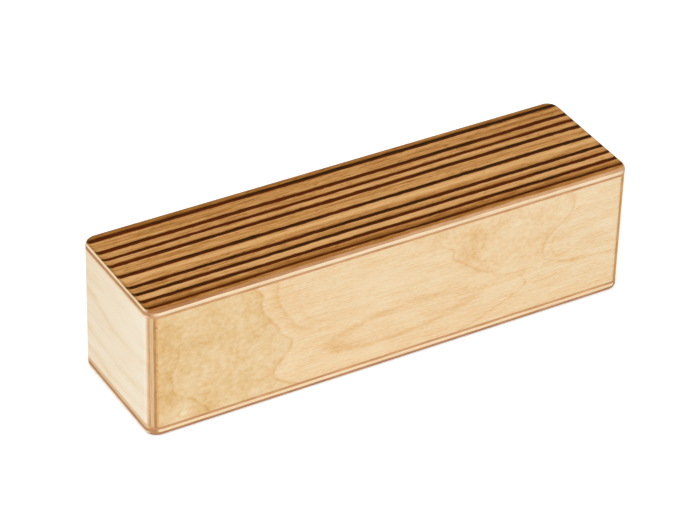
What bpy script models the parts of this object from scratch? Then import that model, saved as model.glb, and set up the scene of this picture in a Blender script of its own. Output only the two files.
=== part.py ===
"""Wooden bar shaker: a sealed plywood box with striped veneer lids and loose steel beads inside.

Metres, +Z up. The origin is the middle of the underside, the long side runs along X and the front
faces -Y. Each panel is a stack of plies glued face to face. The ends run the full depth, the front
and back sit between them, the lids cover all four, and every outer edge is rounded after gluing, the
upright ones more than the rest.
"""
import bmesh
import bpy
from mathutils import Vector

# Outer box and its rounded edges
LENGTH = 0.200
DEPTH = 0.0535
HEIGHT = 0.0548
EDGE_RADIUS = 0.002
EDGE_SEGMENTS = 5
CORNER_RADIUS = 0.005
CORNER_SEGMENTS = 8

# Ply thicknesses, listed from the outside in
TOP_PLIES = (
    ("striped_veneer", 0.00030),
    ("ply_outer", 0.00030),
    ("ply_core", 0.00095),
    ("ply_inner", 0.00060),
)
BOTTOM_PLIES = (
    ("striped_veneer", 0.00085),
    ("ply_outer", 0.00060),
    ("ply_core", 0.00105),
    ("ply_inner", 0.00070),
)
WALL_PLIES = (
    ("ply_outer", 0.00100),
    ("ply_core", 0.00075),
    ("ply_inner", 0.00095),
)

# Glue line between neighbours, and what a raw ply stands proud before its edges are rounded
GLUE_GAP = 0.0003
TRIM_ALLOWANCE = 0.001

# Loose filling
BEAD_COUNT = 28
BEAD_DIAMETER = 0.0045
BEAD_SEGMENTS = 12
BEAD_RINGS = 8
BEAD_CLEARANCE = 0.0003
SCATTER_STEP = 0.618

# Finishes: colour, roughness, metallic
FINISHES = {
    "striped_veneer": ((0.36, 0.19, 0.07, 1.0), 0.45, 0.0),
    "ply_outer": ((0.82, 0.61, 0.35, 1.0), 0.50, 0.0),
    "ply_core": ((0.78, 0.56, 0.34, 1.0), 0.60, 0.0),
    "ply_inner": ((0.62, 0.38, 0.19, 1.0), 0.60, 0.0),
    "bead_steel": ((0.60, 0.60, 0.62, 1.0), 0.25, 1.0),
}

# Smoother than this, neighbouring faces are shaded as one curve
SMOOTH_ANGLE = 0.55


def clear_scene():
    """Remove whatever the scene holds, so that only the shaker is left."""
    for old in list(bpy.data.objects):
        bpy.data.objects.remove(old, do_unlink=True)


def make_finish(name):
    """A plain material with one of the listed finishes."""
    colour, roughness, metallic = FINISHES[name]
    material = bpy.data.materials.new(name)
    material.use_nodes = True
    shader = material.node_tree.nodes["Principled BSDF"]
    shader.inputs["Base Color"].default_value = colour
    shader.inputs["Roughness"].default_value = roughness
    shader.inputs["Metallic"].default_value = metallic
    return material


def stack_thickness(plies):
    """Thickness of a panel: its plies with a glue line between each two."""
    return sum(thickness for _, thickness in plies) + GLUE_GAP * (len(plies) - 1)


def add_block(name, low, high):
    """A rectangular block between two corners, with its origin in its middle."""
    shape = bmesh.new()
    bmesh.ops.create_cube(shape, size=1.0)
    bmesh.ops.scale(shape, vec=high - low, verts=shape.verts)
    mesh = bpy.data.meshes.new(name)
    shape.to_mesh(mesh)
    shape.free()
    block = bpy.data.objects.new(name, mesh)
    block.location = (low + high) / 2
    bpy.context.scene.collection.objects.link(block)
    return block


def round_edges(shape, edges, radius, segments):
    """Round some edges of a shape over to one radius."""
    bmesh.ops.bevel(
        shape, geom=edges, offset=radius, segments=segments, profile=0.5, affect="EDGES", clamp_overlap=False
    )


def add_rounded_blank():
    """The whole box as one block with rounded edges, a guide that the plies are trimmed to."""
    low = Vector((-LENGTH / 2, -DEPTH / 2, 0.0))
    high = Vector((LENGTH / 2, DEPTH / 2, HEIGHT))
    blank = add_block("rounded_blank", low, high)
    shape = bmesh.new()
    shape.from_mesh(blank.data)
    upright = [edge for edge in shape.edges if edge.verts[0].co.z * edge.verts[1].co.z < 0]
    round_edges(shape, upright, CORNER_RADIUS, CORNER_SEGMENTS)
    level = [edge for edge in shape.edges if edge.verts[0].co.z * edge.verts[1].co.z > 0]
    round_edges(shape, level, EDGE_RADIUS, EDGE_SEGMENTS)
    shape.to_mesh(blank.data)
    shape.free()
    blank.hide_render = True
    blank.display_type = "WIRE"
    return blank


def trim_to_blank(ply, blank):
    """Cut the raw ply to the blank, then shade its rounded rim smooth and leave its arrises sharp."""
    trim = ply.modifiers.new("trim", "BOOLEAN")
    trim.operation = "INTERSECT"
    trim.solver = "EXACT"
    trim.object = blank
    graph = bpy.context.evaluated_depsgraph_get()
    trimmed = bpy.data.meshes.new_from_object(ply.evaluated_get(graph))
    trimmed.name = ply.name
    ply.modifiers.clear()
    ply.data = trimmed
    trimmed.shade_smooth()
    trimmed.set_sharp_from_angle(angle=SMOOTH_ANGLE)


def add_panel(name, plies, axis, side, low, high):
    """One panel of stacked plies.

    axis (0, 1 or 2) and side (-1 or +1) say which way the panel faces. low and high are the corners
    of the outer box that the panel fills; along the axis its plies start at the outer face.
    """
    outer_face = high[axis] if side > 0 else low[axis]
    top_of_ply = TRIM_ALLOWANCE
    depth = 0.0
    for ply_name, thickness in plies:
        ply_low = low.copy()
        ply_high = high.copy()
        near = outer_face + side * top_of_ply
        far = outer_face - side * (depth + thickness)
        ply_low[axis] = min(near, far)
        ply_high[axis] = max(near, far)
        ply = add_block(f"{name}_{ply_name}", ply_low, ply_high)
        trim_to_blank(ply, blank)
        ply.data.materials.clear()
        ply.data.materials.append(finishes[ply_name])
        ply.parent = shaker
        depth += thickness + GLUE_GAP
        top_of_ply = -depth


def add_lids():
    """Top and bottom: full length and depth, striped veneer outside."""
    low = Vector((-LENGTH / 2 - TRIM_ALLOWANCE, -DEPTH / 2 - TRIM_ALLOWANCE, 0.0))
    high = Vector((LENGTH / 2 + TRIM_ALLOWANCE, DEPTH / 2 + TRIM_ALLOWANCE, HEIGHT))
    add_panel("top", TOP_PLIES, 2, 1, low, high)
    add_panel("bottom", BOTTOM_PLIES, 2, -1, low, high)


def add_ends():
    """Left and right ends: full depth, between the lids."""
    floor = stack_thickness(BOTTOM_PLIES) + GLUE_GAP
    ceiling = HEIGHT - stack_thickness(TOP_PLIES) - GLUE_GAP
    low = Vector((-LENGTH / 2, -DEPTH / 2 - TRIM_ALLOWANCE, floor))
    high = Vector((LENGTH / 2, DEPTH / 2 + TRIM_ALLOWANCE, ceiling))
    add_panel("left_end", WALL_PLIES, 0, -1, low, high)
    add_panel("right_end", WALL_PLIES, 0, 1, low, high)


def add_front_and_back():
    """Front and back: between the two ends and between the lids."""
    floor = stack_thickness(BOTTOM_PLIES) + GLUE_GAP
    ceiling = HEIGHT - stack_thickness(TOP_PLIES) - GLUE_GAP
    end_inset = stack_thickness(WALL_PLIES) + GLUE_GAP
    low = Vector((-LENGTH / 2 + end_inset, -DEPTH / 2, floor))
    high = Vector((LENGTH / 2 - end_inset, DEPTH / 2, ceiling))
    add_panel("front", WALL_PLIES, 1, -1, low, high)
    add_panel("back", WALL_PLIES, 1, 1, low, high)


def make_bead_mesh():
    """One round bead about its own middle."""
    shape = bmesh.new()
    bmesh.ops.create_uvsphere(
        shape, u_segments=BEAD_SEGMENTS, v_segments=BEAD_RINGS, radius=BEAD_DIAMETER / 2
    )
    mesh = bpy.data.meshes.new("bead")
    shape.to_mesh(mesh)
    shape.free()
    mesh.shade_smooth()
    mesh.materials.append(finishes["bead_steel"])
    return mesh


def add_beads():
    """Loose beads on the floor of the hollow, each in its own lane across the box.

    The lanes share the length of the hollow evenly. Along its lane a bead lies where the fractional
    part of its number times SCATTER_STEP puts it between the front and the back wall.
    """
    wall = stack_thickness(WALL_PLIES)
    floor = stack_thickness(BOTTOM_PLIES)
    lane = (LENGTH - 2 * wall) / BEAD_COUNT
    travel = DEPTH - 2 * wall - BEAD_DIAMETER - 2 * BEAD_CLEARANCE
    mesh = make_bead_mesh()
    for number in range(BEAD_COUNT):
        bead = bpy.data.objects.new(f"bead_{number + 1:02d}", mesh)
        x = (number + 0.5) * lane - (LENGTH - 2 * wall) / 2
        y = ((number + 1) * SCATTER_STEP % 1.0 - 0.5) * travel
        z = floor + BEAD_CLEARANCE + BEAD_DIAMETER / 2
        bead.location = (x, y, z)
        bead.parent = shaker
        bpy.context.scene.collection.objects.link(bead)


clear_scene()
shaker = bpy.data.objects.new("shaker", None)
bpy.context.scene.collection.objects.link(shaker)
finishes = {name: make_finish(name) for name in FINISHES}
blank = add_rounded_blank()
add_lids()
add_ends()
add_front_and_back()
add_beads()
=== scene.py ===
import math

import bmesh
import bpy
import numpy as np
from mathutils import Matrix, Vector


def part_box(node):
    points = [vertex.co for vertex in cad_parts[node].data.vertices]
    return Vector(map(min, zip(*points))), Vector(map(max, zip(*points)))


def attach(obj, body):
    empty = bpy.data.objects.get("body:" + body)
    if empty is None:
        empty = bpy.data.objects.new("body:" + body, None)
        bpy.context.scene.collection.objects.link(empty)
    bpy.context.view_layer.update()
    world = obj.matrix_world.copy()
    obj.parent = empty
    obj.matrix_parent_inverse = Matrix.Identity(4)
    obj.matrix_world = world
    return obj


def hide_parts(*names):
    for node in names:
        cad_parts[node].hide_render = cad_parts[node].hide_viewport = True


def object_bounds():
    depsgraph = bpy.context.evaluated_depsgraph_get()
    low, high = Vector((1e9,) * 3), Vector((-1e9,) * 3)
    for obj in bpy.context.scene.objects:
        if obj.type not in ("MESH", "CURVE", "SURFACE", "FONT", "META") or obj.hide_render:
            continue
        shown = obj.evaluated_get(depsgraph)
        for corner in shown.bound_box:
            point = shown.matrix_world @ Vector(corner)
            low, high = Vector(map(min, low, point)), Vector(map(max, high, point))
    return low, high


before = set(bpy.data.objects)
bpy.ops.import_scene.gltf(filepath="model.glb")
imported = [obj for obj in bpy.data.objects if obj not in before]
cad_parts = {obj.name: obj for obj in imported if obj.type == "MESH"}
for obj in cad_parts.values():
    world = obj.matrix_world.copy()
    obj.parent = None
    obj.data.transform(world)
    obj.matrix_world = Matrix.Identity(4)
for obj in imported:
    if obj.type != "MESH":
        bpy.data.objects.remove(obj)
cad_low, cad_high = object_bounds()

# Birch plies of the lids
# Each lid is three rotary-cut birch veneers glued with their grain crossed, under a striped face.
# After the box was glued its edges were rounded, so every layer shows as a line along the rim.
EDGE_RADIUS = 0.002
CORNER_RADIUS = 0.005
CORNER_STEPS = 16
SIDE_STEP = 0.004
RIM_STEPS = 8
# A seam wanders in long and short waves: radians on its whole way and shift from seam to seam of
# each, and the part that the short ones have
SEAM_WANDER = 0.00004
LID_WAVES = ((26 * math.pi, 2.1), (62 * math.pi, 4.7), 0.6)
# How much deeper each seam comes out at the rim than its ply lies, along the sides and at the ends
SEAM_DIPS = {
    "top": ((-0.00022, 0.00024), (-0.00002, 0.00028), (-0.00012, 0.00045)),
    "bottom": ((0.0, 0.00010), (0.00016, -0.00005), (0.00002, 0.00002)),
}
SHARP_ANGLE = math.radians(35)
MERGE_GAP = 0.000001
PLIES = ("ply_outer", "ply_core", "ply_inner")
# Finishes are sized in millimetres, shapes in metres
MM = 1000.0


def srgb(red, green, blue):
    """A colour as the eye sees it, 0 to 255, turned into the linear values that shaders use."""
    seen = np.array([red, green, blue]) / 255
    linear = np.where(seen <= 0.04045, seen / 12.92, ((seen + 0.055) / 1.055) ** 2.4)
    return (*linear.tolist(), 1.0)


def feed(tree, node, inputs):
    """Gives a node its inputs by name or number: a socket is linked, a plain value is set."""
    for key, value in inputs.items():
        if isinstance(value, bpy.types.NodeSocket):
            tree.links.new(value, node.inputs[key])
        else:
            node.inputs[key].default_value = value


def put(tree, kind, inputs=None, **settings):
    """A shader node of a kind, with its inputs and settings."""
    made = tree.nodes.new(f"ShaderNode{kind}")
    for name, value in settings.items():
        setattr(made, name, value)
    feed(tree, made, inputs or {})
    return made


def calc(tree, operation, *values):
    """One sum on up to three numbers or sockets."""
    return put(tree, "Math", dict(enumerate(values)), operation=operation).outputs[0]


def axes(tree, vector):
    """The x, y and z of a vector."""
    return put(tree, "SeparateXYZ", {0: vector}).outputs


def times(tree, one, other):
    """The product of two numbers or sockets."""
    return calc(tree, "MULTIPLY", one, other)


def minus(tree, one, other):
    """The first of two numbers or sockets less the other."""
    return calc(tree, "SUBTRACT", one, other)


def add(tree, start, value, strength):
    """A start plus a value times its strength."""
    return calc(tree, "MULTIPLY_ADD", value, strength, start)


def blend(tree, share, first, second):
    """The first colour at share 0, the second at share 1."""
    made = put(tree, "Mix", {0: share, 6: first, 7: second}, data_type="RGBA")
    return made.outputs[2]


def step(tree, value, low, high):
    """A smooth step from 0 at low to 1 at high."""
    made = put(
        tree, "MapRange", {0: value, 1: low, 2: high, 3: 0.0, 4: 1.0},
        interpolation_type="SMOOTHSTEP",
    )
    return made.outputs[0]


def ramp(tree, value, stops):
    """Colours along a value, as (place, colour) stops."""
    made = put(tree, "ValToRGB", {0: value})
    marks = made.color_ramp.elements
    marks[0].position, marks[0].color = stops[0]
    marks[1].position, marks[1].color = stops[-1]
    for at, colour in stops[1:-1]:
        marks.new(at).color = colour
    return made.outputs[0]


def new_finish(name):
    """An empty procedural material: its tree, its shader, its place in millimetres and its normal."""
    material = bpy.data.materials.new(name)
    material.use_nodes = True
    tree = material.node_tree
    shader = tree.nodes["Principled BSDF"]
    place = put(tree, "TexCoord")
    scaled = put(tree, "VectorMath", {0: place.outputs["Object"], 3: MM}, operation="SCALE")
    return material, tree, shader, scaled.outputs[0], place.outputs["Normal"]


def cloud(tree, place, size, detail=3.0, roughness=0.55):
    """Noise from 0 to 1 whose features are size = (x, y, z) millimetres long."""
    stretched = put(tree, "VectorMath", {0: place, 1: size}, operation="DIVIDE")
    made = put(
        tree, "TexNoise",
        {"Vector": stretched.outputs[0], "Scale": 1.0, "Detail": detail, "Roughness": roughness},
    )
    return made.outputs["Fac"]


def along_grain(grain, length, width):
    """Feature sizes for cloud: long along the grain axis and narrow across it."""
    return tuple(length if axis == grain else width for axis in "xyz")


LACQUER_ROUGHNESS = 0.46
LACQUER_GLOSS = 0.015
FIBRE_DULLING = 0.12
FIBRE_RELIEF = 0.00002
RELIEF_STRENGTH = 0.35
# A ply's fibres: their length and width in millimetres, and the noise that turns streaks on
PLY_FIBRE = (18.0, 0.35)
STREAK_SPAN = (0.42, 0.78)
# Tones in pairs: plain and streaked along the grain, dark and light across it
LONG_GRAIN = (srgb(245, 222, 187), srgb(230, 198, 152))
CORE_GRAIN = (srgb(240, 218, 185), srgb(227, 196, 152))
TAN_GRAIN = (srgb(220, 187, 145), srgb(203, 163, 117))
FOOT_TAN = (srgb(229, 197, 156), srgb(216, 178, 133))
HEAD_GOLD = (srgb(243, 217, 178), srgb(231, 198, 152))
END_GRAIN = (srgb(186, 134, 88), srgb(221, 174, 128))
END_GRAIN_DARK = (srgb(170, 118, 76), srgb(207, 159, 117))
UNDER_TAN = (srgb(190, 141, 97), srgb(223, 179, 136))
UNDER_BROWN = (srgb(160, 106, 62), srgb(184, 131, 88))
# Where along the top lid its under ply begins to go brown and is all brown, in millimetres
UNDER_SPAN = (50.0, -110.0)
# How squarely a surface has to cut the fibres for the first brown, and for full brown
GRAIN_TURN = (0.42, 0.64)
UNDER_TURN = (0.10, 0.60)
TOP_CORE_TURN = (0.20, 0.80)
BOTTOM_CORE_TURN = (0.22, 0.48)
# End grain: sizes of its pores and bands in millimetres, the pores' share, and its span of tones
EDGE_PORE = 0.22
EDGE_BAND = 9.0
EDGE_PORE_SHARE = 0.55
EDGE_SPAN = (0.30, 0.72)


def lacquer(tree, shader, colour, fibre):
    """Satin clear lacquer: fibres show through as faint relief and change the gloss a little."""
    relief = put(tree, "Bump", {"Strength": RELIEF_STRENGTH, "Distance": FIBRE_RELIEF, "Height": fibre})
    feed(tree, shader, {
        "Base Color": colour,
        "Roughness": add(tree, LACQUER_ROUGHNESS - FIBRE_DULLING / 2, fibre, FIBRE_DULLING),
        "Normal": relief.outputs[0],
        "Specular IOR Level": LACQUER_GLOSS,
    })


def cut_across(tree, normal, grain, turn=GRAIN_TURN):
    """How far a surface cuts across the grain: 0 on long grain, 1 on end grain."""
    facing = calc(tree, "ABSOLUTE", axes(tree, normal)["xyz".index(grain)])
    return step(tree, facing, *turn)


def level_heading(tree, normal):
    """Which way a surface faces in plan, whatever its slope, so a rim is one tone down its curve."""
    level = put(tree, "VectorMath", {0: normal, 1: (1.0, 1.0, 0.0)}, operation="MULTIPLY")
    return put(tree, "VectorMath", {0: level.outputs[0]}, operation="NORMALIZE").outputs[0]


def end_grain(tree, place, tones=END_GRAIN):
    """Sanded end grain of birch: fine pores and slow bands between a dark and a light brown."""
    pores = cloud(tree, place, (EDGE_PORE,) * 3)
    bands = cloud(tree, place, (EDGE_BAND,) * 3, detail=2.0)
    tone = add(tree, times(tree, bands, 1.0 - EDGE_PORE_SHARE), pores, EDGE_PORE_SHARE)
    return blend(tree, step(tree, tone, *EDGE_SPAN), *tones)


def birch_ply(name, grain, tones=LONG_GRAIN, cut_tones=END_GRAIN, turn=GRAIN_TURN, left_tones=None):
    """A plain birch ply: pale along the fibres and brown where they are cut across.

    turn gives how squarely the fibres have to be cut for the first brown and for full brown. A cut
    edge with left_tones goes over to them towards the left end.
    """
    material, tree, shader, place, normal = new_finish(name)
    fibre = cloud(tree, place, along_grain(grain, *PLY_FIBRE), detail=6.0)
    streak = step(tree, fibre, *STREAK_SPAN)
    side = blend(tree, streak, *tones)
    facing = normal if grain == "z" else level_heading(tree, normal)
    cut = end_grain(tree, place, cut_tones)
    if left_tones:
        leftward = step(tree, axes(tree, place)[0], *UNDER_SPAN)
        cut = blend(tree, leftward, cut, end_grain(tree, place, left_tones))
    colour = blend(tree, cut_across(tree, facing, grain, turn), side, cut)
    lacquer(tree, shader, colour, fibre)
    return material


def glue_line(one, other, axis):
    """Where two neighbours meet: midway across the gap between their solids, along one axis."""
    (low_one, high_one), (low_other, high_other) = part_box(one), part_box(other)
    return (max(low_one[axis], low_other[axis]) + min(high_one[axis], high_other[axis])) / 2


def add_piece(name, rings, material, body):
    """A closed solid through rings of points, each counter-clockwise seen from the last ring's side.

    Ring i and ring i + 1 are joined point by point, and the first and last rings are closed flat.
    """
    count, around = rings.shape[:2]
    ring, point = np.meshgrid(np.arange(count - 1), np.arange(around), indexing="ij")
    after = (point + 1) % around
    here, beside = ring * around + point, ring * around + after
    walls = np.stack([here, beside, beside + around, here + around], axis=-1).reshape(-1, 4)
    first = np.arange(around)[::-1]
    last = np.arange(around) + (count - 1) * around
    mesh = bpy.data.meshes.new(name)
    mesh.from_pydata(rings.reshape(-1, 3), [], [*walls.tolist(), first.tolist(), last.tolist()])
    shape = bmesh.new()
    shape.from_mesh(mesh)
    bmesh.ops.remove_doubles(shape, verts=shape.verts, dist=MERGE_GAP)
    shape.to_mesh(mesh)
    shape.free()
    mesh.shade_smooth()
    mesh.set_sharp_from_angle(angle=SHARP_ANGLE)
    mesh.materials.append(material)
    piece = bpy.data.objects.new(name, mesh)
    bpy.context.scene.collection.objects.link(piece)
    evened = piece.modifiers.new("flat_faces_lead", "WEIGHTED_NORMAL")
    evened.keep_sharp = True
    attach(piece, body)
    return piece


def lid_outline():
    """Points round a lid, counter-clockwise from above, as a centre and an outward direction each.

    A point on a side has its own centre straight behind it. All points of a corner share one centre,
    and their directions turn through a quarter circle. Also gives each point's share of the way round.
    """
    half_x = cad_high.x - CORNER_RADIUS
    half_y = cad_high.y - CORNER_RADIUS
    centres, directions = [], []
    corners = [(half_x, -half_y), (half_x, half_y), (-half_x, half_y), (-half_x, -half_y)]
    for side in range(4):
        start, end = np.array(corners[side]), np.array(corners[(side + 1) % 4])
        steps = round(np.linalg.norm(end - start) / SIDE_STEP)
        share = np.linspace(0, 1, steps, endpoint=False)[1:, None]
        heading = side * math.pi / 2
        centres.append(start + (end - start) * share)
        directions.append(np.tile([math.cos(heading), math.sin(heading)], (steps - 1, 1)))
        turn = heading + np.linspace(0, math.pi / 2, CORNER_STEPS + 1)
        centres.append(np.tile(end, (CORNER_STEPS + 1, 1)))
        directions.append(np.stack([np.cos(turn), np.sin(turn)], axis=-1))
    centres, directions = np.concatenate(centres), np.concatenate(directions)
    outer = centres + directions * CORNER_RADIUS
    walked = np.cumsum(np.linalg.norm(np.diff(outer, axis=0, prepend=outer[-1:]), axis=1))
    return centres, directions, walked / walked[-1]


def wander(waves, seam, share):
    """How far a glue line strays at a share of its way: a long and a short sine wave together."""
    (long_turn, long_shift), (short_turn, short_shift), short_part = waves
    long_wave = np.sin(long_turn * share + long_shift * seam)
    short_wave = np.sin(short_turn * share + short_shift * seam)
    return SEAM_WANDER * (long_wave + short_part * short_wave)


def arc_at(depth, radius):
    """Distance along a rounded edge, from where the flat face ends, at a depth below that face."""
    turn = np.arccos(1 - np.minimum(depth, radius) / radius)
    return radius * turn + np.maximum(depth - radius, 0)


def rim_at(arc, radius):
    """Reach beyond the flat face and depth below it, at a distance along a rounded edge."""
    turn = np.minimum(arc / radius, np.pi / 2)
    reach = radius * np.sin(turn)
    depth = radius * (1 - np.cos(turn)) + np.maximum(arc - radius * np.pi / 2, 0)
    return reach, depth


def lid_layer(upper, lower, side):
    """Rings of one lid layer between two seams, given as depths round the outline.

    The way along the rim is shared evenly between the seams, and side +1 builds down from the top face,
    side -1 up from the underside.
    """
    centres, directions, _ = lid_outline()
    share = np.linspace(1, 0, RIM_STEPS + 1)[:, None]
    arc = arc_at(upper, EDGE_RADIUS) * (1 - share) + arc_at(lower, EDGE_RADIUS) * share
    reach, depth = rim_at(arc, EDGE_RADIUS)
    plan = centres + directions * (CORNER_RADIUS - EDGE_RADIUS + reach[..., None])
    height = cad_high.z - depth if side > 0 else depth
    rings = np.concatenate([plan, height[..., None]], axis=-1)
    return rings if side > 0 else rings[::-1]


def lid_seams(lid):
    """Depth of each seam of a lid round its outline, from the flat face to the joint with the walls.

    Sanding pressed harder at the ends than along the sides, so a seam dips from one to the other with
    the square of its outward direction.
    """
    names = [f"{lid}_striped_veneer"] + [f"{lid}_{ply}" for ply in PLIES] + ["front_ply_outer"]
    heights = [glue_line(one, other, 2) for one, other in zip(names, names[1:])]
    depths = [cad_high.z - height if lid == "top" else height for height in heights]
    _, outward, share = lid_outline()
    seams = [np.zeros_like(share)]
    for number, (depth, (along_sides, at_ends)) in enumerate(zip(depths, SEAM_DIPS[lid])):
        dip = along_sides * outward[:, 1] ** 2 + at_ends * outward[:, 0] ** 2
        seams.append(depth + dip + wander(LID_WAVES, number, share))
    seams.append(np.full_like(share, depths[-1]))
    return seams


LID_FINISHES = {
    "top": (
        birch_ply(
            "birch_under_veneer", "y", cut_tones=UNDER_TAN, turn=UNDER_TURN, left_tones=UNDER_BROWN,
        ),
        birch_ply("birch_top_core", "x", CORE_GRAIN, END_GRAIN_DARK, TOP_CORE_TURN),
        birch_ply("birch_golden", "y", HEAD_GOLD),
    ),
    "bottom": (
        birch_ply("birch_brown_edged", "y", cut_tones=END_GRAIN_DARK),
        birch_ply("birch_bottom_core", "x", cut_tones=END_GRAIN_DARK, turn=BOTTOM_CORE_TURN),
        birch_ply("birch_tan", "y", FOOT_TAN),
    ),
}
for lid, side in (("top", 1), ("bottom", -1)):
    seams = lid_seams(lid)
    for number, (ply, finish) in enumerate(zip(PLIES, LID_FINISHES[lid]), start=1):
        rings = lid_layer(seams[number], seams[number + 1], side)
        piece = add_piece(f"{lid}_lid_{ply}", rings, finish, "box")
        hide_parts(f"{lid}_{ply}")

# Striped face veneer
# A quarter-cut tropical veneer with dark growth bands, glued to both lids with its bands lengthwise.
# The bands slant back as they go down into it, so they hook where the rounded ends cut them.
LENGTH, DEPTH, HEIGHT = ((high - low) * MM for low, high in zip(cad_low, cad_high))
BANDS = (
    # Millimetres across the lid at the left and right ends, width, and how black it is at those ends
    (22.1, 22.7, 1.9, 0.1, 1.1),
    (14.4, 15.2, 1.9, 0.15, 0.4),
    (9.5, 10.5, 1.6, 0.0, 0.0),
    (4.8, 5.9, 1.9, 0.1, 0.45),
    (-2.4, -1.8, 1.85, 0.4, 0.5),
    (-9.9, -9.4, 1.75, 0.45, 0.6),
    (-14.5, -14.1, 1.7, 0.55, 0.2),
    (-19.3, -19.0, 1.75, 0.4, 0.25),
    (-23.6, -23.3, 1.15, 0.2, 0.2),
)
# Ground tone across the lid, from brown 0 to light 1, by millimetres from the front
GROUND_TONES = (
    (0, 0.28), (1.8, 0.30), (3.5, 0.18), (5.3, 0.30), (6.8, 0.45), (8.5, 0.72), (11.5, 0.75),
    (14, 0.50), (16.5, 0.66), (19.6, 0.52), (21.8, 0.90), (24, 0.60), (26.5, 0.66), (28.5, 0.46),
    (31, 0.62), (34.5, 0.66), (38.5, 0.56), (42.5, 0.62), (45.4, 0.40), (47, 0.52), (49.5, 0.28),
    (53.5, 0.22),
)
# How far a band slants back per millimetre of depth, and how far it strays across the lid
BAND_HOOK = 2.5
BAND_WANDER = 1.2
BAND_RAG = 1.0
# Soft edges in millimetres: a band's front and back, the brown shade behind it and its inked part
FRONT_EDGE = (-0.25, 0.15)
BACK_EDGE = (0.35, -0.25)
SHADE_EDGE = (1.2, -0.2)
INKED_PART = (-0.5, 0.7)
# Black in a band: at its back, in its stained stretches and where the rounded ends cut it
BACK_INK = 0.45
FRONT_STAIN = 0.45
STAIN_SPAN = (0.44, 0.62)
EVEN_BLACKNESS = 0.3
STAIN_BY_BLACKNESS = 0.35
HOOK_INK = 0.6
HOOK_TURN = (0.05, 0.45)
# Sizes of the veneer's figure in millimetres: along the bands, across them and into the wood
WANDER_SIZE = (60.0, 14.0, 60.0)
RAG_SIZE = (4.0, 0.8, 7.0)
STAIN_SIZE = (30.0, 2.0, 32.0)
FLECK_SIZE = (4.0, 0.8, 1.0)
PORE_SIZE = (3.0, 0.28, 1.0)
# Level of the noise at which a lid's face lies, and the middle of all noise
FACE_LEVEL = 30.0
NOISE_MIDDLE = 0.5
# The ground's streaks, from broad to fine: sizes, noise detail and roughness, and added tone
GROUND_STREAKS = (
    ((70.0, 1.5, 90.0), 3.0, 0.55, 0.75),
    ((11.0, 0.9, 6.0), 4.0, 0.6, 0.9),
    ((14.0, 0.30, 6.0), 6.0, 0.62, 1.5),
)
# What shade and flecks add to the ground's tone, and the noise that turns flecks and pores on
SHADE_TONE = -0.28
FLECK_TONE = -0.30
FLECK_SLANT = -0.26
FLECK_SPAN = (0.56, 0.72)
PORE_SPAN = (0.63, 0.73)
PORE_COVER = 0.65
CUT_COVER = 0.40
CUT_TURN = (0.15, 0.60)
VENEER_OLIVE = srgb(134, 84, 28)
VENEER_TONES = [
    (0.0, VENEER_OLIVE), (0.32, srgb(174, 116, 55)),
    (0.60, srgb(208, 152, 89)), (0.98, srgb(228, 179, 118)),
]
BAND_RED = srgb(93, 33, 0)
BAND_BLACK = srgb(38, 24, 0)
PORE_DARK = srgb(112, 62, 18)


def curve(tree, value, reach, points):
    """A smooth curve through (place, height) points: places from 0 to reach, heights from 0 to 1."""
    made = put(tree, "FloatCurve", {1: calc(tree, "DIVIDE", value, reach)})
    knots = made.mapping.curves[0].points
    knots[0].location = (points[0][0] / reach, points[0][1])
    knots[1].location = (points[-1][0] / reach, points[-1][1])
    for at, height in points[1:-1]:
        knots.new(at / reach, height)
    made.mapping.update()
    return made.outputs[0]


def sway(tree, place, size, **fineness):
    """Noise such as cloud makes, but about 0."""
    return minus(tree, cloud(tree, place, size, **fineness), NOISE_MIDDLE)


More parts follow.
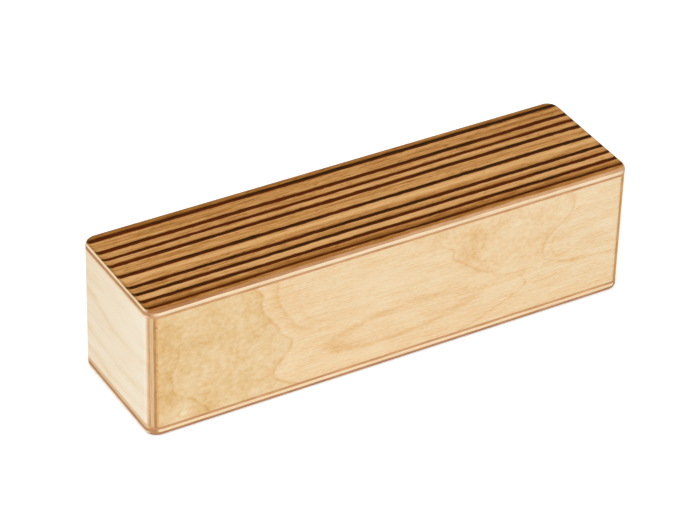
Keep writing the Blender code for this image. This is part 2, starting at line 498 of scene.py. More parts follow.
def striped_veneer(name, side):
    """Dark bands across Y over a tan ground with long streaks, slanting flecks and short pores.

    A point's place across the lid is taken back along its slanting band to the face: the further below
    the face, the nearer the front. side is +1 for the top lid and -1 for the bottom.
    """
    material, tree, shader, place, normal = new_finish(name)
    x, y, depth = axes(tree, place)
    if side > 0:
        depth = minus(tree, HEIGHT, depth)
    hook = times(tree, calc(tree, "MAXIMUM", depth, 0.0), -BAND_HOOK)
    y = add(tree, hook, y, side)

    def end_to_end(left, right):
        """A value that goes evenly from the left end of the lid to the right."""
        made = put(tree, "MapRange", {0: x, 1: -LENGTH / 2, 2: LENGTH / 2, 3: left, 4: right})
        return made.outputs[0]

    face = put(tree, "CombineXYZ", {0: x, 1: y, 2: FACE_LEVEL * side}).outputs[0]
    across = add(tree, y, sway(tree, face, WANDER_SIZE, detail=2.0), BAND_WANDER)
    rag = sway(tree, face, RAG_SIZE, detail=5.0, roughness=0.65)
    across = add(tree, across, rag, BAND_RAG)
    dark, inky, black, halo = 0.0, 0.0, 0.0, 0.0
    for left, right, width, black_left, black_right in BANDS:
        half = width / 2
        past = minus(tree, across, end_to_end(left, right))
        front_edge = step(tree, past, FRONT_EDGE[0] - half, FRONT_EDGE[1] - half)
        back_edge = step(tree, past, BACK_EDGE[0] + half, BACK_EDGE[1] + half)
        band = times(tree, front_edge, back_edge)
        dark = calc(tree, "MAXIMUM", dark, band)
        inked = times(tree, band, step(tree, past, *INKED_PART))
        inky = calc(tree, "MAXIMUM", inky, inked)
        blackness = times(tree, band, end_to_end(black_left, black_right))
        black = calc(tree, "MAXIMUM", black, blackness)
        behind = step(tree, past, SHADE_EDGE[0] + half, SHADE_EDGE[1] + half)
        halo = calc(tree, "MAXIMUM", halo, times(tree, front_edge, behind))
    tone = curve(tree, calc(tree, "ADD", across, DEPTH / 2), DEPTH, GROUND_TONES)
    for size, detail, roughness, strength in GROUND_STREAKS:
        strand = cloud(tree, face, size, detail, roughness)
        tone = add(tree, tone, minus(tree, strand, NOISE_MIDDLE), strength)
    tone = add(tree, tone, halo, SHADE_TONE)
    aslant = add(tree, y, x, FLECK_SLANT)
    slant = put(tree, "CombineXYZ", {0: x, 1: aslant}).outputs[0]
    fleck = step(tree, cloud(tree, slant, FLECK_SIZE), *FLECK_SPAN)
    tone = add(tree, tone, fleck, FLECK_TONE)
    ground = ramp(tree, tone, VENEER_TONES)
    pore = step(tree, cloud(tree, face, PORE_SIZE, detail=2.0), *PORE_SPAN)
    ground = blend(tree, times(tree, pore, PORE_COVER), ground, PORE_DARK)
    stretch = cloud(tree, face, STAIN_SIZE)
    blacker = minus(tree, black, EVEN_BLACKNESS)
    stretch = add(tree, stretch, blacker, STAIN_BY_BLACKNESS)
    stained = add(tree, FRONT_STAIN, inky, 1.0 - FRONT_STAIN)
    stained = times(tree, stained, step(tree, stretch, *STAIN_SPAN))
    ink = add(tree, stained, inky, BACK_INK)
    ink = add(tree, ink, cut_across(tree, normal, "x", HOOK_TURN), HOOK_INK)
    core = blend(tree, calc(tree, "MINIMUM", ink, 1.0), BAND_RED, BAND_BLACK)
    colour = blend(tree, dark, ground, core)
    cut = times(tree, cut_across(tree, normal, "x", CUT_TURN), CUT_COVER)
    colour = blend(tree, cut, colour, VENEER_OLIVE)
    lacquer(tree, shader, colour, strand)
    return material


for lid, side in (("top", 1), ("bottom", -1)):
    seams = lid_seams(lid)
    rings = lid_layer(seams[0], seams[1], side)
    finish = striped_veneer(f"striped_veneer_{lid}", side)
    piece = add_piece(f"{lid}_lid_veneer", rings, finish, "box")
    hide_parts(f"{lid}_striped_veneer")

# End panels
# Two pieces of three-ply birch as deep as the box, glued between the lids.
# Their upright edges are rounded with the box, so the crossed plies show as lines at each corner.
UPRIGHT_STEPS = 24
INNER_SEAM_DIP = -0.00012
END_WAVES = ((9.0, 2.0), (31.0, 1.0), 0.7)
# Ring lines on an end: millimetres across it, from the back of the left end, and depth below the top
END_RINGS = (
    ((0, 18.2), (9.5, 19.9), (16.6, 22.4), (25.7, 24.4), (35.8, 24.9), (45.9, 24.1), (53.5, 23.2)),
    ((0, 35.6), (9.5, 36.7), (17.6, 37.8), (28.7, 38.8), (37.8, 38.4), (46.9, 37.2), (53.5, 36.2)),
    ((0, 44.8), (10.5, 45.6), (21.7, 46.8), (33.8, 46.1), (43.8, 44.9), (53.5, 43.8)),
)
END_TONES = [
    (0.0, srgb(250, 237, 214)), (0.45, srgb(245, 227, 198)),
    (0.75, srgb(239, 215, 178)), (1.0, srgb(229, 198, 154)),
]
# Tone of an end's face: its start, its change across and down, and what the figure adds
END_TONE = 0.45
END_TONE_ACROSS = -0.32
END_TONE_DOWN = -0.14
END_BROAD_TONE = 0.9
END_FIBRE_TONE = 1.1
END_RING_TONE = 0.30
# In millimetres: sizes of the figure, how far lines stray, and a line's soft edges
END_STRAY_SIZE = (9.0, 7.0, 1.2)
END_FIBRE_SIZE = (8.0, 12.0, 0.6)
END_BROAD_SIZE = (30.0, 30.0, 9.0)
END_STRAY = 3.0
RING_ABOVE = (-3.5, 0.2)
RING_BELOW = (2.4, 0.0)
# Tan strips: their soft edges over the foot's joint and under the head's, and how far they stray
FOOT_STRIP = (0.92, 0.47)
HEAD_STRIP = (-1.00, -0.10)
STRIP_STRAY = -0.5
FACE_TURN = (0.22, 0.64)
CORNER_GRAIN = (srgb(184, 132, 80), srgb(217, 172, 119))
INNER_GRAIN = {
    "left_end": (srgb(172, 119, 66), srgb(206, 159, 104)),
    "right_end": (srgb(194, 137, 80), srgb(225, 176, 118)),
}
PALE_UPRIGHT = (srgb(250, 206, 143), srgb(240, 187, 117))
# Stained strips beside the joint, in millimetres from it: tan glue, then dark specks
GLUE_STRIP = {"left_end": 0.80, "right_end": 0.0}
GLUE_SOFT = 0.40
GLUE_TAN = srgb(221, 178, 122)
SPECK_IN = (0.06, 0.18)
SPECK_OUT = (0.61, 0.49)
SPECK_SIZE = (0.35, 2.0, 0.60)
SPECK_SPAN = (0.54, 0.66)
SPECK_DARK = srgb(146, 86, 40)
JOINT_FIBRE = (12.0, 0.4)


def between(tree, value, rise, fall):
    """1 past a soft rise and before a soft fall, 0 outside. Each has its places of 0 and of 1."""
    return times(tree, step(tree, value, *rise), step(tree, value, *fall))


def end_face(name, side):
    """Pale birch with three sagging ring lines on the face, brown where the rounding cuts its fibres.

    Glue that was pressed out of the joints has left a tan strip along the foot of the face and a
    fainter one along its top.
    """
    material, tree, shader, place, normal = new_finish(name)
    _, y, z = axes(tree, place)
    across = add(tree, DEPTH / 2, y, side)
    stray = sway(tree, place, END_STRAY_SIZE, detail=5.0)
    down = add(tree, minus(tree, HEIGHT, z), stray, END_STRAY)
    fibre = cloud(tree, place, END_FIBRE_SIZE, detail=6.0)
    broad = sway(tree, place, END_BROAD_SIZE)
    tone = add(tree, END_TONE, across, END_TONE_ACROSS / DEPTH)
    tone = add(tree, tone, down, END_TONE_DOWN / HEIGHT)
    tone = add(tree, tone, broad, END_BROAD_TONE)
    tone = add(tree, tone, minus(tree, fibre, NOISE_MIDDLE), END_FIBRE_TONE)
    for points in END_RINGS:
        ring = curve(tree, across, DEPTH, [(at, low / HEIGHT) for at, low in points])
        past = minus(tree, down, times(tree, ring, HEIGHT))
        line = between(tree, past, RING_ABOVE, RING_BELOW)
        tone = add(tree, tone, line, END_RING_TONE)
    colour = ramp(tree, tone, END_TONES)
    strayed = add(tree, z, stray, STRIP_STRAY)
    strips = (("bottom_ply_inner", FOOT_STRIP, FOOT_TAN), ("top_ply_inner", HEAD_STRIP, HEAD_GOLD))
    for lid_ply, (starts, full), (tan, _) in strips:
        joint = glue_line("left_end_ply_outer", lid_ply, 2) * MM
        strip = step(tree, strayed, joint + starts, joint + full)
        colour = blend(tree, strip, colour, tan)
    edge = cut_across(tree, normal, "y", FACE_TURN)
    colour = blend(tree, edge, colour, end_grain(tree, place, CORNER_GRAIN))
    lacquer(tree, shader, colour, fibre)
    return material


def joint_ply(name, cut_tones, glue_strip):
    """An end's inner ply: end grain, with a strip of tan glue and dark specks beside the joint."""
    material, tree, shader, place, normal = new_finish(name)
    edge = glue_line("front_ply_outer", "right_end_ply_inner", 0) * MM
    gap = minus(tree, calc(tree, "ABSOLUTE", axes(tree, place)[0]), edge)
    soaked = step(tree, gap, glue_strip, glue_strip - GLUE_SOFT)
    close = between(tree, gap, SPECK_IN, SPECK_OUT)
    speck = step(tree, cloud(tree, place, SPECK_SIZE, detail=2.0), *SPECK_SPAN)
    fibre = cloud(tree, place, along_grain("y", *JOINT_FIBRE), detail=5.0)
    colour = end_grain(tree, place, cut_tones)
    colour = blend(tree, soaked, colour, GLUE_TAN)
    colour = blend(tree, times(tree, close, speck), colour, SPECK_DARK)
    streak = step(tree, fibre, *STREAK_SPAN)
    side = blend(tree, streak, *LONG_GRAIN)
    colour = blend(tree, cut_across(tree, normal, "y"), side, colour)
    lacquer(tree, shader, colour, fibre)
    return material


def end_layer(outer, inner, low, high, side):
    """Rings of one end ply, level sections stacked up the box.

    A section runs along the outer seam, round the back edge to the inner seam and back round the front
    edge. Seams are depths in from the end's face, and stray with the height.
    """
    share = np.linspace(0, 1, UPRIGHT_STEPS + 1)
    upright = low + (high - low) * share
    way = np.linspace(0, 1, RIM_STEPS + 1)
    from_arc = arc_at(outer(share), CORNER_RADIUS)[:, None]
    to_arc = arc_at(inner(share), CORNER_RADIUS)[:, None]
    reach, depth = rim_at(from_arc * (1 - way) + to_arc * way, CORNER_RADIUS)
    across = cad_high.y - CORNER_RADIUS + reach
    x = np.concatenate([depth, depth[:, ::-1]], axis=1)
    y = np.concatenate([across, -across[:, ::-1]], axis=1)
    z = np.repeat(upright[:, None], x.shape[1], axis=1)
    rings = np.stack([side * (cad_high.x - x), y, z], axis=-1)
    return rings[:, ::-1] if side > 0 else rings


def end_seam(depth, number):
    """A seam's depth as a function of the share of the way up: its place plus its wander.

    Only the glue lines inside the panel wander; its face and its joint are true.
    """
    glue_lines = range(1, len(PLIES))
    depth += INNER_SEAM_DIP if number == glue_lines[-1] else 0.0
    return lambda share: depth + (number in glue_lines) * wander(END_WAVES, number, share)


END_CORES = {
    "left_end": birch_ply("birch_upright", "z", TAN_GRAIN),
    "right_end": birch_ply("birch_pale_upright", "z", PALE_UPRIGHT),
}
for end, side in (("left_end", -1), ("right_end", 1)):
    names = [f"{end}_{ply}" for ply in PLIES] + ["front_ply_outer"]
    places = [side * cad_high.x] + [glue_line(one, other, 0) for one, other in zip(names, names[1:])]
    seams = [end_seam(cad_high.x - abs(place), number) for number, place in enumerate(places)]
    low = glue_line(f"{end}_ply_outer", "bottom_ply_inner", 2)
    high = glue_line(f"{end}_ply_outer", "top_ply_inner", 2)
    joint_finish = joint_ply(f"{end}_joint", INNER_GRAIN[end], GLUE_STRIP[end])
    finishes = (end_face(f"{end}_face", side), END_CORES[end], joint_finish)
    for number, (ply, finish) in enumerate(zip(PLIES, finishes)):
        rings = end_layer(seams[number], seams[number + 1], low, high, side)
        piece = add_piece(f"{end}_panel_{ply}", rings, finish, "box")
        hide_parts(f"{end}_{ply}")

# Front and back panels
# Two long pieces of three-ply birch set between the ends, faced with rotary-cut veneer.
# Rotary cutting follows the rings round the log, so the figure wanders in broad loops.
ARRIS = 0.0001
FACE_TONES = [
    (0.0, srgb(242, 222, 187)), (0.35, srgb(237, 208, 166)),
    (0.65, srgb(230, 192, 140)), (1.0, srgb(219, 171, 109)),
]
GOLDEN_TONES = [
    (0.0, srgb(239, 220, 184)), (0.35, srgb(233, 205, 160)),
    (0.65, srgb(225, 189, 135)), (1.0, srgb(210, 167, 104)),
]
# Sizes of the face's figure in millimetres: along the panel, into it and up it
BEND_SIZE = (6.0, 9.0, 4.0)
FEATHER_SIZE = (10.0, 4.0, 0.45)
THREAD_SIZE = (9.0, 6.0, 0.35)
DASH_SIZE = (1.8, 3.0, 0.32)
SLOW_SIZE = (40.0, 45.0, 14.0)
DRIFT_SIZE = (13.0, 12.0, 4.0)
BLOTCH_SIZE = (10.0, 9.0, 8.0)
MOTTLE_SIZE = (2.4, 2.4, 2.0)
PATCH_SIZE = (4.0, 5.0, 2.2)
# Tone of plain wood at the left, its change to the right, and shades at the left and right ends
PLAIN_TONE = 0.20
PLAIN_CHANGE = -0.08
LEFT_TONE, LEFT_SPAN = 0.21, (18.0, 2.0)
JOINT_TONE, JOINT_SPAN = 0.45, (-4.5, -3.1)
SLOW_TONE = 0.50
# Streaked wood: its tone, what its figure adds, how clear that is at the left, and more to the right
STREAKED_TONE = 0.19
DASH_TONE = 1.05
DRIFT_TONE = 0.52
TICK_TONE = 0.38
TICK_SPAN, TICK_MIDDLE = (0.36, 0.72), 0.45
CLEAR_LEFT, CLEAR_CHANGE = 0.84, 0.26
# Mottled wood: its tone, what its figure adds, and how softly it ends in millimetres
MOTTLED_TONE = 0.24
MOTTLE_TONE = 1.32
BLOTCH_TONE = 0.75
MOTTLE_SOFT = 3.0
# Ring lines, in millimetres: half a line's width, the soft end of its shade, how softly it comes and
# goes, the width of the change from side to side, and how far bends and feathering shift it
LINE_HALF = 0.95
SHADE_ENDS = (1.2, -0.6)
COMES_SOFT, GOES_SOFT = 3.0, 4.0
SIDE_SOFT = 2.0
BEND_SHIFT = 3.0
FEATHER_SHIFT = 2.4
SLOPE_STEP = 0.5
LINE_TONE = 0.40
BEFORE_TONE = 0.16
PATCH_SPAN = (0.34, 0.62)
LINE_BREAKS = 0.60
# Ring lines of the face: how strong the line is, how strong the shade before it and how far that
# reaches, the span of depth below the top that shows, and points as depth below the top and place
# from the left end, lengths in millimetres
FRONT_RINGS = (
    (0.65, 0.4, 6, (17, 55), (
        (3.4, 6), (10.9, 6.5), (16.4, 8), (19, 10.6), (22, 11.6), (26, 10), (30, 8.6), (34.4, 9),
        (39, 10.8), (42.8, 17), (46.4, 20.6), (50.4, 24))),
    (0.82, 0.35, 3.5, (0, 55), (
        (3.4, 41.5), (6.4, 44.4), (12.2, 44.2), (17.8, 46.9), (22.2, 50.6), (26.4, 52.5),
        (30.2, 56.7), (33.2, 56.6), (36.6, 54), (41, 50.2), (44.4, 49.6), (47.8, 54), (50.4, 58.7))),
    (0.35, 1.1, 4.5, (3, 30), (
        (3.4, 51), (7.4, 51), (13.4, 52), (17.1, 54), (21.4, 56.5), (25.9, 60), (28.4, 66),
        (30.4, 72), (50.4, 84))),
    (0.25, 0.3, 4, (8, 28), (
        (3.4, 62), (10, 59.5), (16, 60.2), (22, 63), (26, 69), (29, 78), (50.4, 90))),
    (0.66, 0.2, 5, (11, 55), (
        (3.4, 104), (6.4, 110.5), (10, 118), (12.5, 123), (17.2, 124.6), (20.4, 128.5), (24, 133),
        (28.4, 140.5), (31, 146), (31.7, 151), (32.4, 155.2), (33.8, 154), (37.2, 156.4), (39.8, 154),
        (43, 148), (47.1, 138), (50.4, 128))),
    (0.55, 0.5, 3, (35, 38), (
        (3.4, 128), (28.4, 147), (31.7, 151), (32.4, 155.2), (33.8, 154), (37.2, 156.4), (39.8, 154),
        (43, 148), (50.4, 128))),
    (0.20, 0.5, 9, (6, 29), (
        (3.4, 131.5), (8, 132.5), (12.5, 133.4), (17, 132.8), (20.6, 135), (25, 138), (28.4, 142.5),
        (31, 148), (50.4, 170))),
    (0.68, 0.4, 4, (0, 55), (
        (3.4, 174), (7.8, 176), (13.4, 173.7), (18.4, 167.5), (22.2, 163.8), (27.2, 163.2), (31, 166),
        (33.2, 172), (34.6, 182), (35.3, 191), (36.4, 200))),
    (0.50, 0, 4, (9, 32), (
        (3.4, 179), (9.4, 178.7), (14.4, 175), (20.4, 168.7), (24, 167), (28.4, 168), (31, 172),
        (33, 181), (34, 200))),
)
# Where the wood turns mottled: a ring by its number, the change to its right, and how far down
FRONT_MOTTLE = ((1, -1, 60), (4, 1, 29), (7, -1, 29))
# A closed ring: tones of its line, what its left and its foot add, and of the wood in it; its soft
# edges in half sizes; then its middle and half sizes in millimetres, and its rise to the right
LOOP_TONE, LOOP_LEFT_TONE, LOOP_FOOT_TONE, LOOP_FILL_TONE = 0.15, 0.13, 0.08, 0.08
LOOP_INSIDE, LOOP_OUTSIDE, LOOP_FILL = (-0.36, 0.0), (0.22, 0.0), (0.60, -0.10)
LOOP_BREAKS = 0.40
FRONT_LOOP = (104, 36.8, 31, 6.3, 0.055)
# A pin knot: tones of its eye, its rim and its halo, and what the left adds to the halo; their soft
# edges in half widths; the left's soft edge in millimetres; then place along, down and half width
KNOT_EYE_TONE, KNOT_RIM_TONE, KNOT_HALO_TONE, KNOT_LEFT_TONE = -0.34, 0.26, 0.11, -0.36
KNOT_EYE, KNOT_RIM_IN, KNOT_RIM_OUT, KNOT_HALO = (1.2, 0.2), (0.7, 1.3), (2.0, 1.3), (8.0, 2.5)
KNOT_LEFT_SPAN = (5.0, -1.5)
KNOT_STRETCH = 1.4
FRONT_KNOT = (13.7, 47.5, 1.3)
# A smear of darker wood: its tone, soft edge and bend; then its place along and down, and half sizes
SMEAR_TONE = 0.14
SMEAR_SPAN = (1.6, 0.0)
SMEAR_BEND = 1.2
FRONT_SMEAR = (132.6, 12.2, 3.8, 7.8)
BACK_RINGS = (
    (0.70, 0.5, 5, (0, 55), (
        (3.4, 30), (8, 33.5), (13, 33), (18, 36.5), (23, 42), (28, 43.5), (33, 41), (38, 35),
        (43, 33.5), (50.4, 27))),
    (0.50, 0.5, 4, (0, 55), (
        (3.4, 66), (9, 71), (13, 70.5), (18, 75.5), (23, 84), (27, 86.5), (31, 84), (36, 76),
        (40, 75), (45, 69), (50.4, 58))),
    (0.60, 0.4, 5, (0, 55), (
        (3.4, 146), (8, 143), (13, 144.5), (19, 139), (24, 131), (28, 129.5), (32, 132), (37, 141),
        (42, 142.5), (50.4, 154))),
    (0.35, 0.2, 4, (6, 42), (
        (3.4, 154), (9, 149), (14, 150), (20, 144), (25, 137), (29, 136.5), (33, 140), (38, 149),
        (44, 152), (50.4, 162))),
)
BACK_MOTTLE = ((0, -1, 60), (2, 0.6, 60))
BACK_LOOP = (104, 21, 14, 4.5, -0.07)
BACK_KNOT = (112, 43, 1.2)
BACK_SMEAR = (64, 40, 3, 6)
FRONT_FIGURE = (FRONT_RINGS, FRONT_MOTTLE, FRONT_LOOP, FRONT_KNOT, FRONT_SMEAR)
BACK_FIGURE = (BACK_RINGS, BACK_MOTTLE, BACK_LOOP, BACK_KNOT, BACK_SMEAR)


def far_out(tree, along, down, half_along, half_down):
    """Distance from a middle, counted in half sizes: 1 on the ellipse that they give."""
    along = calc(tree, "POWER", calc(tree, "DIVIDE", along, half_along), 2.0)
    down = calc(tree, "POWER", calc(tree, "DIVIDE", down, half_down), 2.0)
    return calc(tree, "SQRT", calc(tree, "ADD", along, down))


def ring_lines(tree, tone, along, down, broken, rings):
    """Adds ring lines to a tone, and gives for each of them which wood lies to its right.

    A line is a curve of places along the panel by depth. The distance from it is measured square to it:
    the distance along, divided by the root of 1 plus the line's slope squared.
    """
    lower = calc(tree, "ADD", down, SLOPE_STEP)
    beyond = []
    for line, shade, reach, (comes, goes), points in rings:
        points = [(low, at / LENGTH) for low, at in points]
        ring = times(tree, curve(tree, down, HEIGHT, points), LENGTH)
        ring_lower = times(tree, curve(tree, lower, HEIGHT, points), LENGTH)
        slope = calc(tree, "DIVIDE", minus(tree, ring_lower, ring), SLOPE_STEP)
        stretch = calc(tree, "SQRT", add(tree, 1.0, slope, slope))
        past = calc(tree, "DIVIDE", minus(tree, along, ring), stretch)
        before = between(tree, past, (-reach, 0.0), SHADE_ENDS)
        edge = step(tree, calc(tree, "ABSOLUTE", past), LINE_HALF, 0.0)
        edge = times(tree, times(tree, edge, broken), LINE_TONE * line)
        both = add(tree, edge, before, BEFORE_TONE * shade)
        rise, fall = (comes - COMES_SOFT, comes + COMES_SOFT), (goes + GOES_SOFT, goes - GOES_SOFT)
        tone = add(tree, tone, both, between(tree, down, rise, fall))
        beyond.append(step(tree, past, -SIDE_SOFT, SIDE_SOFT))
    return tone, beyond


def closed_ring(tree, tone, along, down, patch, loop):
    """Adds to a tone an elliptical ring that is darker at its left and foot."""
    middle, low, half_along, half_down, rise = loop
    off_along = minus(tree, along, middle)
    off_down = add(tree, minus(tree, down, low), off_along, rise)
    out = minus(tree, far_out(tree, off_along, off_down, half_along, half_down), 1.0)
    leftward = step(tree, off_along, half_along, -half_along)
    footward = step(tree, off_down, -half_down, half_down)
    deeper = add(tree, LOOP_TONE, leftward, LOOP_LEFT_TONE)
    deeper = add(tree, deeper, footward, LOOP_FOOT_TONE)
    faded = add(tree, 1.0 - LOOP_BREAKS, patch, LOOP_BREAKS)
    line = times(tree, between(tree, out, LOOP_INSIDE, LOOP_OUTSIDE), deeper)
    tone = add(tree, tone, line, faded)
    return add(tree, tone, step(tree, out, *LOOP_FILL), LOOP_FILL_TONE)


def dark_smear(tree, tone, straight, down, bend, smear):
    """Adds to a tone a smear that fades from its middle."""
    smear_along, smear_down, half_along, half_down = smear
    off_along = minus(tree, straight, smear_along)
    off_along = add(tree, off_along, bend, SMEAR_BEND)
    out = far_out(tree, off_along, minus(tree, down, smear_down), half_along, half_down)
    return add(tree, tone, step(tree, out, *SMEAR_SPAN), SMEAR_TONE)


def pin_knot(tree, tone, along, down, knot):
    """Adds to a tone a pin knot: a pale eye, a dark rim at its left, and paler wood left of that."""
    knot_along, knot_down, half = knot
    off_along = minus(tree, along, knot_along)
    out = far_out(tree, off_along, minus(tree, down, knot_down), KNOT_STRETCH * half, half)
    tone = add(tree, tone, step(tree, out, *KNOT_EYE), KNOT_EYE_TONE)
    rim = between(tree, out, KNOT_RIM_IN, KNOT_RIM_OUT)
    rim = times(tree, rim, step(tree, off_along, half, -half))
    tone = add(tree, tone, rim, KNOT_RIM_TONE)
    leftward = step(tree, off_along, *KNOT_LEFT_SPAN)
    halo = add(tree, KNOT_HALO_TONE, leftward, KNOT_LEFT_TONE)
    return add(tree, tone, step(tree, out, *KNOT_HALO), halo)


def rotary_birch(name, rings, mottle_zones, loop, knot, smear):
    """Rotary-cut birch: ring lines with a golden side, a closed ring, a pin knot and fibres along X.

    Some of the wood is mottled. Elsewhere fibres feather the lines, shifting them a little from one
    fibre to the next.
    """
    material, tree, shader, place, _ = new_finish(name)
    x, _, z = axes(tree, place)
    bend = sway(tree, place, BEND_SIZE, detail=5.0)
    feather = sway(tree, place, FEATHER_SIZE)
    straight = calc(tree, "ADD", x, LENGTH / 2)
    along = add(tree, straight, bend, BEND_SHIFT)
    along = add(tree, along, feather, FEATHER_SHIFT)
    down = minus(tree, HEIGHT, z)
    fibre = cloud(tree, place, THREAD_SIZE, detail=5.0, roughness=0.66)
    dash = sway(tree, place, DASH_SIZE)
    slow = sway(tree, place, SLOW_SIZE)
    drift = sway(tree, place, DRIFT_SIZE)
    blotch = sway(tree, place, BLOTCH_SIZE, detail=2.0)
    mottle = sway(tree, place, MOTTLE_SIZE, detail=6.0, roughness=0.78)
    patch = step(tree, cloud(tree, place, PATCH_SIZE, detail=4.0), *PATCH_SPAN)
    broken = add(tree, 1.0 - LINE_BREAKS, patch, LINE_BREAKS)
    tone = add(tree, PLAIN_TONE, along, PLAIN_CHANGE / LENGTH)
    tone = add(tree, tone, step(tree, along, *LEFT_SPAN), LEFT_TONE)
    beside_joint = step(tree, straight, LENGTH + JOINT_SPAN[0], LENGTH + JOINT_SPAN[1])
    tone = add(tree, tone, beside_joint, JOINT_TONE)
    tone = add(tree, tone, slow, SLOW_TONE)
    tone, beyond = ring_lines(tree, tone, along, down, broken, rings)
    tone = closed_ring(tree, tone, along, down, patch, loop)
    tone = dark_smear(tree, tone, straight, down, bend, smear)
    tone = pin_knot(tree, tone, along, down, knot)
    mottled = 1.0
    for number, change, reaches in mottle_zones:
        above = step(tree, down, reaches + MOTTLE_SOFT, reaches - MOTTLE_SOFT)
        here = times(tree, beyond[number], above)
        mottled = add(tree, mottled, here, change)
    tick = minus(tree, step(tree, fibre, *TICK_SPAN), TICK_MIDDLE)
    streaks = add(tree, times(tree, tick, TICK_TONE), dash, DASH_TONE)
    streaks = add(tree, streaks, drift, DRIFT_TONE)
    clearer = add(tree, CLEAR_LEFT, along, CLEAR_CHANGE / LENGTH)
    streaks = add(tree, STREAKED_TONE, streaks, clearer)
    spots = add(tree, MOTTLED_TONE, blotch, BLOTCH_TONE)
    spots = add(tree, spots, mottle, MOTTLE_TONE)
    tone = add(tree, tone, streaks, minus(tree, 1.0, mottled))
    tone = add(tree, tone, spots, mottled)
    clear = beyond[mottle_zones[0][0]]
    colour = blend(tree, clear, ramp(tree, tone, GOLDEN_TONES), ramp(tree, tone, FACE_TONES))
    lacquer(tree, shader, colour, fibre)
    return material


def panel_layer(outer, inner, joint, low, high, side, arris):
    """Rings of one front or back ply, level sections stacked up the box.

    A section runs along the outer face, which bends in with the rounded corner at either end, and
    straight back along the inner one. The arris eases the edges of the outer face. Depths are in from
    the box's own face, and the joint is the panel's distance from the box's ends.
    """
    gap = np.concatenate([[joint], np.linspace(joint + arris, CORNER_RADIUS, RIM_STEPS + 1)])
    bend = CORNER_RADIUS - np.sqrt(CORNER_RADIUS**2 - (CORNER_RADIUS - gap) ** 2)
    bend[0] += arris
    depth = np.maximum(outer, np.concatenate([bend, bend[::-1]]))
    end = cad_high.x - joint
    x = np.concatenate([gap - cad_high.x, (cad_high.x - gap)[::-1], [end, -end]])
    eased = np.array([arris, 0.0, 0.0, arris])[:, None]
    depth = np.concatenate([depth + eased, np.full((4, 2), inner)], axis=1)
    z = np.array([low, low + arris, high - arris, high])[:, None] + 0 * depth
    rings = np.stack([x + 0 * depth, side * (cad_high.y - depth), z], axis=-1)
    return rings if side < 0 else rings[:, ::-1]


birch_inside = birch_ply("birch_inside", "x")
for panel, side, figure in (("front", -1, FRONT_FIGURE), ("back", 1, BACK_FIGURE)):
    names = [f"{panel}_{ply}" for ply in PLIES]
    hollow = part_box(names[2])[1][1] if side < 0 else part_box(names[2])[0][1]
    seams = [glue_line(one, other, 1) for one, other in zip(names, names[1:])]
    depths = [0.0] + [cad_high.y - abs(seam) for seam in (*seams, hollow)]
    joint = cad_high.x - glue_line(names[0], "right_end_ply_inner", 0)
    low = glue_line(names[0], "bottom_ply_inner", 2)
    high = glue_line(names[0], "top_ply_inner", 2)
    finishes = (rotary_birch(f"{panel}_face", *figure), END_CORES["left_end"], birch_inside)
    for number, (ply, finish) in enumerate(zip(PLIES, finishes)):
        arris = ARRIS if number == 0 else 0.0
        rings = panel_layer(depths[number], depths[number + 1], joint, low, high, side, arris)
        piece = add_piece(f"{panel}_panel_{ply}", rings, finish, "box")
        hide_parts(f"{panel}_{ply}")

# Loose beads
# Cold-headed steel shot, tumbled smooth, poured in before the top lid was glued on.
# Each has a faint belt where the halves of its die met, and rolls free in the hollow.
BEAD_AROUND = 32
BEAD_RINGS = 17
BELT_DEPTH = 0.012
BELT_WIDTH = 0.12
STEEL = (0.58, 0.57, 0.55, 1.0)
STEEL_WORN = (0.36, 0.34, 0.32, 1.0)
STEEL_ROUGHNESS = 0.22
RUB_ROUGHNESS = 0.25
RUB_MM = 0.9
RUB_SPAN = (0.45, 0.70)


def bead_steel(name):
    """Bright steel with dull rub marks."""
    material, tree, shader, place, _ = new_finish(name)
    rubbed = step(tree, cloud(tree, place, (RUB_MM,) * 3, detail=5.0), *RUB_SPAN)
    feed(tree, shader, {
        "Base Color": blend(tree, rubbed, STEEL, STEEL_WORN),
        "Roughness": add(tree, STEEL_ROUGHNESS, rubbed, RUB_ROUGHNESS),
        "Metallic": 1.0,
    })
    return material


def bead_rings(centre, radius):
    """Rings of a ball from pole to pole. The radius dips in a narrow bell curve round the middle."""
    rise = np.linspace(-np.pi / 2, np.pi / 2, BEAD_RINGS + 2)[1:-1, None]
    turn = np.linspace(0, 2 * np.pi, BEAD_AROUND, endpoint=False)[None, :]
    size = radius * (1 - BELT_DEPTH * np.exp(-((rise / BELT_WIDTH) ** 2)))
    x = size * np.cos(rise) * np.cos(turn)
    y = size * np.cos(rise) * np.sin(turn)
    z = size * np.sin(rise) + 0 * turn
    return np.stack([x, y, z], axis=-1) + np.array(centre)


steel = bead_steel("bead_steel")
for bead in sorted(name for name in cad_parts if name.startswith("bead_")):
    low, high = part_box(bead)
    rings = bead_rings((low + high) / 2, (high.z - low.z) / 2)
    piece = add_piece(f"{bead}_shot", rings, steel, bead)
    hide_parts(bead)

# Floor
# A wide white sheet under the box, bright enough to read as white and still hold a soft shadow.
FLOOR_HALF = 3.0
FLOOR_DROP = 0.00003
FLOOR_COLOUR = (0.92, 0.92, 0.92, 1.0)
FLOOR_ROUGHNESS = 0.9
WHITE = (1.0, 1.0, 1.0, 1.0)
FLOOR_GLOW = 0.36
FAR_GLOW = 0.62
NEAR_MM = 300.0
FAR_MM = 1500.0


def seen_directly(tree):
    """1 for light on its way to the camera, to a reflection or through glass, 0 for all other light."""
    path = put(tree, "LightPath")
    seen = calc(tree, "MAXIMUM", path.outputs["Is Camera Ray"], path.outputs["Is Glossy Ray"])
    return calc(tree, "MAXIMUM", seen, path.outputs["Is Transmission Ray"])


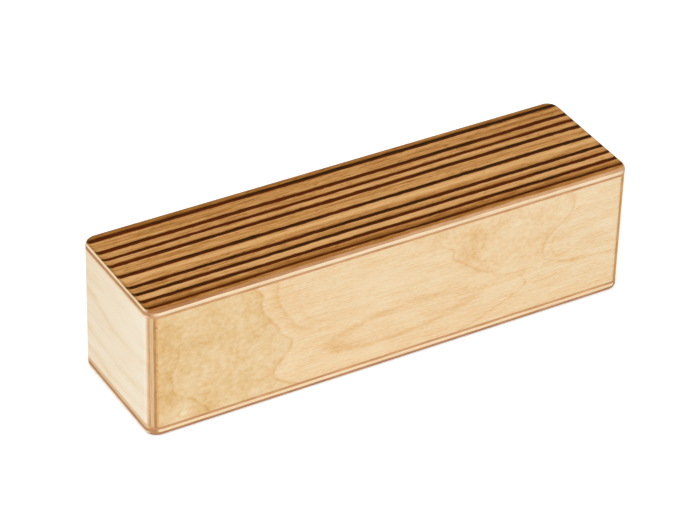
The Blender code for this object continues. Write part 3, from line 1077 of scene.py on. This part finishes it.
def floor_paper(name):
    """Matt white paper that adds a little light of its own where the camera or a reflection sees it.

    The lamps fade with the distance from the box, so the paper's own light makes up for them there.
    """
    material, tree, shader, place, _ = new_finish(name)
    distance = put(tree, "VectorMath", {0: place}, operation="LENGTH").outputs["Value"]
    glow = add(tree, FLOOR_GLOW, step(tree, distance, NEAR_MM, FAR_MM), FAR_GLOW - FLOOR_GLOW)
    feed(tree, shader, {
        "Base Color": FLOOR_COLOUR,
        "Roughness": FLOOR_ROUGHNESS,
        "Specular IOR Level": 0.0,
        "Emission Color": WHITE,
        "Emission Strength": times(tree, seen_directly(tree), glow),
    })
    return material


floor_mesh = bpy.data.meshes.new("floor")
square = FLOOR_HALF * np.array([[-1, -1, 0], [1, -1, 0], [1, 1, 0], [-1, 1, 0]])
floor_mesh.from_pydata(square - [0, 0, FLOOR_DROP], [], [(0, 1, 2, 3)])
floor_mesh.materials.append(floor_paper("floor_paper"))
floor = bpy.data.objects.new("floor", floor_mesh)
bpy.context.scene.collection.objects.link(floor)

# Studio light
# A white room all round, a broad soft lamp high at the front left and a weaker one at the right.
ROOM_STRENGTH = 0.55
# Each lamp's place, width and power; both aim at the middle of the box
LAMPS = {
    "key_lamp": ((-0.9, -0.9, 1.3), 1.2, 16.0),
    "fill_lamp": ((1.2, -0.8, 0.9), 1.4, 5.0),
}

for name, (place, size, power) in LAMPS.items():
    lamp = bpy.data.lights.new(name, "AREA")
    lamp.size = size
    lamp.energy = power
    holder = bpy.data.objects.new(name, lamp)
    holder.location = place
    aim = Vector((0, 0, cad_high.z / 2)) - Vector(place)
    holder.rotation_euler = aim.to_track_quat("-Z", "Y").to_euler()
    bpy.context.scene.collection.objects.link(holder)
room = bpy.data.worlds.new("room")
room.use_nodes = True
air = room.node_tree
brightness = add(air, ROOM_STRENGTH, seen_directly(air), 1.0 - ROOM_STRENGTH)
feed(air, air.nodes["Background"], {"Color": WHITE, "Strength": brightness})
bpy.context.scene.world = room
bpy.context.scene.view_settings.view_transform = "Standard"

# Camera
# Long lens, from the front left and above, with a slight roll.
CAMERA_TARGET = (-0.00272, 0.00188, 0.0274)
CAMERA_DISTANCE = 1.1994
CAMERA_AZIMUTH = math.radians(-30.979)
CAMERA_ELEVATION = math.radians(34.716)
CAMERA_ROLL = math.radians(1.750)
LENS_MM = 167.6
SENSOR_MM = 36.0

lens = bpy.data.cameras.new("camera")
lens.lens = LENS_MM
lens.sensor_width = SENSOR_MM
camera = bpy.data.objects.new("camera", lens)
back = Vector((
    math.sin(CAMERA_AZIMUTH) * math.cos(CAMERA_ELEVATION),
    -math.cos(CAMERA_AZIMUTH) * math.cos(CAMERA_ELEVATION),
    math.sin(CAMERA_ELEVATION),
))
turned = (-back).to_track_quat("-Z", "Y").to_matrix().to_4x4() @ Matrix.Rotation(CAMERA_ROLL, 4, "Z")
camera.matrix_world = Matrix.Translation(Vector(CAMERA_TARGET) + back * CAMERA_DISTANCE) @ turned
bpy.context.scene.collection.objects.link(camera)
bpy.context.scene.camera = camera
